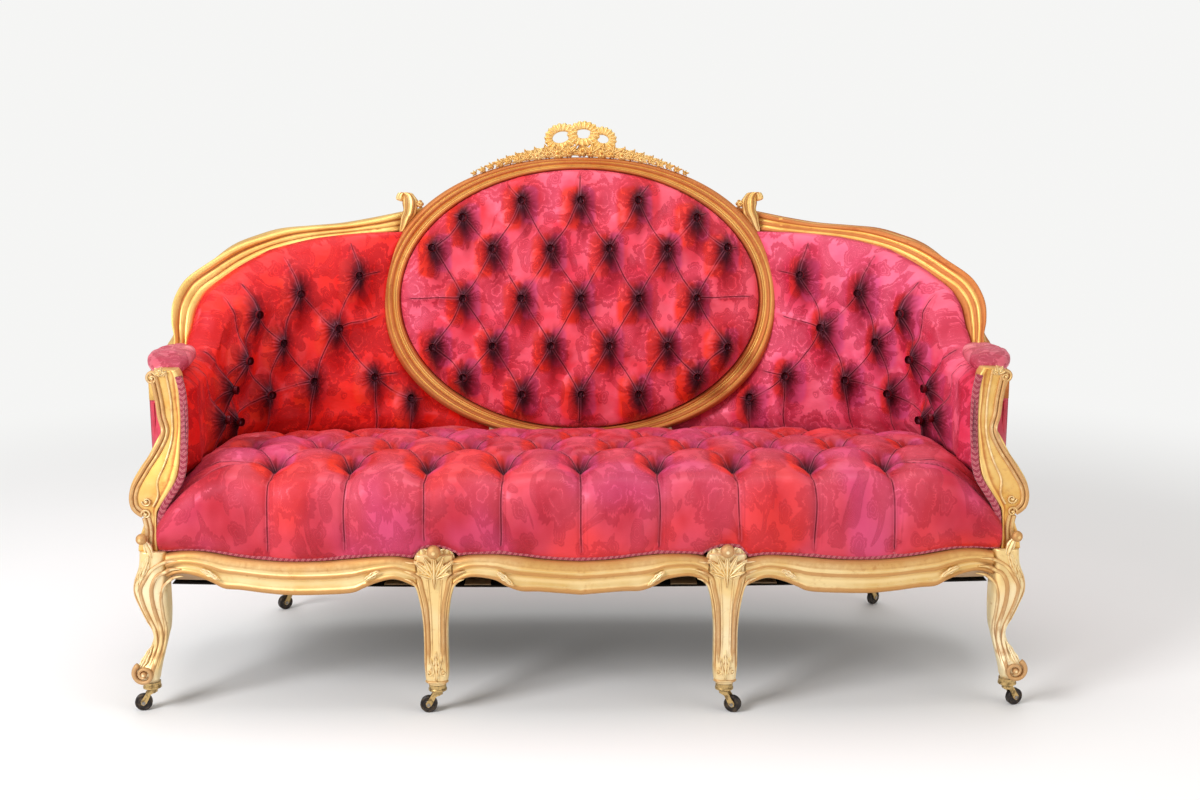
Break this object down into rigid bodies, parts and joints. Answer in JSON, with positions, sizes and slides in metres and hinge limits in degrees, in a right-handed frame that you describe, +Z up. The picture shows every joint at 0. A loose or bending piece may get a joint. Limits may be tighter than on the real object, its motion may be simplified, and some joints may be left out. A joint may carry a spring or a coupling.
{
  "type": "sofa",
  "caption": "Carved gilt canape sofa with a deep-buttoned wrap-round back, an oval medallion with a ribbon crest, a sprung buttoned seat and short legs on swivel castors",
  "frame": {"origin": "on the floor, below the middle of the sofa's bounding box", "axes": "+X to the right as seen from the front, +Y to the back, +Z up"},
  "size_m": [1.7817, 0.7694, 1.1385],
  "materials": {
    "gilt_wood": "water-gilt carved wood, rubbed at the edges",
    "rail_wood": "gilt wood in a deeper, redder tone",
    "beech": "plain unfinished beech",
    "silk": "silk damask, crimson and rose",
    "gimp": "woven chevron gimp",
    "linen": "jute webbing and hessian",
    "dust_cloth": "black cotton",
    "spring_steel": "drawn steel wire and screws",
    "aged_brass": "aged cast brass",
    "axle_steel": "turned steel",
    "dark_iron": "dark turned wheel"
  },
  "bodies": {
    "frame": {"front_leg_left": "gilt_wood", "front_leg_right": "gilt_wood", "middle_leg_left": "gilt_wood", "middle_leg_right": "gilt_wood", "rear_leg_left": "rail_wood", "rear_leg_right": "rail_wood", "apron_left": "gilt_wood", "apron_center": "gilt_wood", "apron_right": "gilt_wood", "side_rail_left": "rail_wood", "side_rail_right": "rail_wood", "rear_rail": "beech", "seat_cross_rails": "beech", "corner_blocks": "beech", "block_screws": "spring_steel", "arm_support_left": "gilt_wood", "arm_support_right": "gilt_wood", "wing_rail_left": "gilt_wood", "wing_rail_right": "gilt_wood", "oval_frame": "gilt_wood", "oval_posts": "beech", "crest_bow": "gilt_wood", "crest_garland": "gilt_wood", "ear_scrolls": "gilt_wood", "seat_cushion": "silk", "oval_cushion": "silk", "wing_cushion_left": "silk", "wing_cushion_right": "silk", "arm_pad_left": "silk", "arm_pad_right": "silk", "seat_buttons": "silk", "oval_buttons": "silk", "wing_buttons": "silk", "gimp_braid": "gimp", "seat_webbing": "linen", "seat_springs": "spring_steel", "spring_canvas": "linen", "dust_cover": "dust_cloth", "oval_webbing": "linen", "oval_back_panel": "silk", "wing_backs": "silk", "castor_cups": "aged_brass"},
    "fork_front_left": {"castor_fork_front_left": "aged_brass", "castor_axle_front_left": "axle_steel"},
    "wheel_front_left": {"castor_wheel_front_left": "dark_iron"},
    "fork_front_right": {"castor_fork_front_right": "aged_brass", "castor_axle_front_right": "axle_steel"},
    "wheel_front_right": {"castor_wheel_front_right": "dark_iron"},
    "fork_middle_left": {"castor_fork_middle_left": "aged_brass", "castor_axle_middle_left": "axle_steel"},
    "wheel_middle_left": {"castor_wheel_middle_left": "dark_iron"},
    "fork_middle_right": {"castor_fork_middle_right": "aged_brass", "castor_axle_middle_right": "axle_steel"},
    "wheel_middle_right": {"castor_wheel_middle_right": "dark_iron"},
    "fork_rear_left": {"castor_fork_rear_left": "aged_brass", "castor_axle_rear_left": "axle_steel"},
    "wheel_rear_left": {"castor_wheel_rear_left": "dark_iron"},
    "fork_rear_right": {"castor_fork_rear_right": "aged_brass", "castor_axle_rear_right": "axle_steel"},
    "wheel_rear_right": {"castor_wheel_rear_right": "dark_iron"}
  },
  "joints": [
    {"name": "swivel_front_left", "type": "hinge", "parent": "frame", "child": "fork_front_left", "pos_m": [-0.85608, -0.33835, 0.0405], "axis": [0, 0, 1], "continuous": true},
    {"name": "roll_front_left", "type": "hinge", "parent": "fork_front_left", "child": "wheel_front_left", "pos_m": [-0.87381, -0.34147, 0.017], "axis": [0.1736, -0.9848, 0], "continuous": true},
    {"name": "swivel_front_right", "type": "hinge", "parent": "frame", "child": "fork_front_right", "pos_m": [0.85608, -0.33835, 0.0405], "axis": [0, 0, 1], "continuous": true},
    {"name": "roll_front_right", "type": "hinge", "parent": "fork_front_right", "child": "wheel_front_right", "pos_m": [0.87299, -0.33219, 0.017], "axis": [-0.342, 0.9397, 0], "continuous": true},
    {"name": "swivel_middle_left", "type": "hinge", "parent": "frame", "child": "fork_middle_left", "pos_m": [-0.285, -0.35877, 0.0405], "axis": [0, 0, 1], "continuous": true},
    {"name": "roll_middle_left", "type": "hinge", "parent": "fork_middle_left", "child": "wheel_middle_left", "pos_m": [-0.303, -0.35877, 0.017], "axis": [0, -1, 0], "continuous": true},
    {"name": "swivel_middle_right", "type": "hinge", "parent": "frame", "child": "fork_middle_right", "pos_m": [0.285, -0.35877, 0.0405], "axis": [0, 0, 1], "continuous": true},
    {"name": "roll_middle_right", "type": "hinge", "parent": "fork_middle_right", "child": "wheel_middle_right", "pos_m": [0.30191, -0.36492, 0.017], "axis": [0.342, 0.9397, 0], "continuous": true},
    {"name": "swivel_rear_left", "type": "hinge", "parent": "frame", "child": "fork_rear_left", "pos_m": [-0.69004, 0.29612, 0.0405], "axis": [0, 0, 1], "continuous": true},
    {"name": "roll_rear_left", "type": "hinge", "parent": "fork_rear_left", "child": "wheel_rear_left", "pos_m": [-0.70478, 0.2858, 0.017], "axis": [0.5736, -0.8192, 0], "continuous": true},
    {"name": "swivel_rear_right", "type": "hinge", "parent": "frame", "child": "fork_rear_right", "pos_m": [0.69004, 0.29612, 0.0405], "axis": [0, 0, 1], "continuous": true},
    {"name": "roll_rear_right", "type": "hinge", "parent": "fork_rear_right", "child": "wheel_rear_right", "pos_m": [0.70383, 0.30769, 0.017], "axis": [-0.6428, 0.766, 0], "continuous": true}
  ]
}
